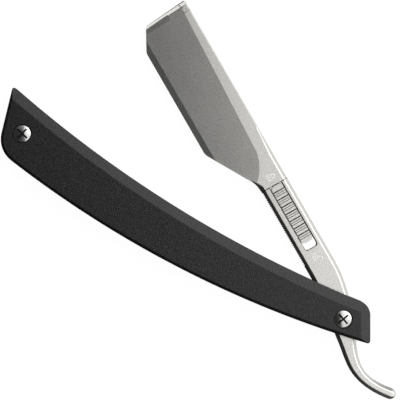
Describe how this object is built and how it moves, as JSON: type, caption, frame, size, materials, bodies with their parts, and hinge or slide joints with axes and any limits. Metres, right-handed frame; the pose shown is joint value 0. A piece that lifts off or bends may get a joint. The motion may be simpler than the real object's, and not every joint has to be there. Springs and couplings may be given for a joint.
{
  "type": "straight razor",
  "caption": "Folding straight razor with a clamping jaw for a replaceable half blade, a sliding thumb lock and two moulded scales.",
  "frame": {"origin": "on the pivot's axis, in the rear outer face that the razor lies on", "axes": "+Z along the pivot's axis towards the front face; +X from the end screw towards the pivot; +Y towards the mouth of the handle"},
  "size_m": [0.1796, 0.0907, 0.011],
  "materials": {
    "moulded_scale": "matte",
    "polished_steel": "polished",
    "satin_steel": "satin",
    "blued_steel": "satin",
    "brass": "satin"
  },
  "bodies": {
    "handle": {"front_scale": "moulded_scale", "rear_scale": "moulded_scale", "pivot_screw": "polished_steel", "pivot_sleeve_nut": "polished_steel", "end_screw": "polished_steel", "end_sleeve_nut": "polished_steel", "end_spacer": "brass", "front_washer": "brass", "rear_washer": "brass"},
    "razor": {"tang": "satin_steel", "pivot_bush": "brass", "liner_plate": "blued_steel", "blade_pins": "polished_steel", "hinge_pin": "polished_steel"},
    "front_jaw": {"front_jaw": "satin_steel"},
    "lock_slider": {"lock_bar": "satin_steel", "front_thumb_piece": "satin_steel", "rear_thumb_piece": "satin_steel", "thumb_pins": "polished_steel", "detent_ball": "polished_steel", "detent_spring": "polished_steel"}
  },
  "joints": [
    {"name": "blade_pivot", "type": "hinge", "parent": "handle", "child": "razor", "pos_m": [0, 0, 0.0055], "axis": [0, 0, 1], "range_deg": [-242, 28]},
    {"name": "lock_slide", "type": "slide", "parent": "razor", "child": "lock_slider", "axis": [0.866, -0.5, 0], "range_m": [0, 0.00275]},
    {"name": "jaw_hinge", "type": "hinge", "parent": "razor", "child": "front_jaw", "pos_m": [-0.07442, 0.0511, 0.0055], "axis": [-0.866, 0.5, 0], "range_deg": [0, 2.5]}
  ],
  "couplings": [
    {"joint": "jaw_hinge", "follows": "lock_slide", "rad_per_m": 15.86}
  ]
}
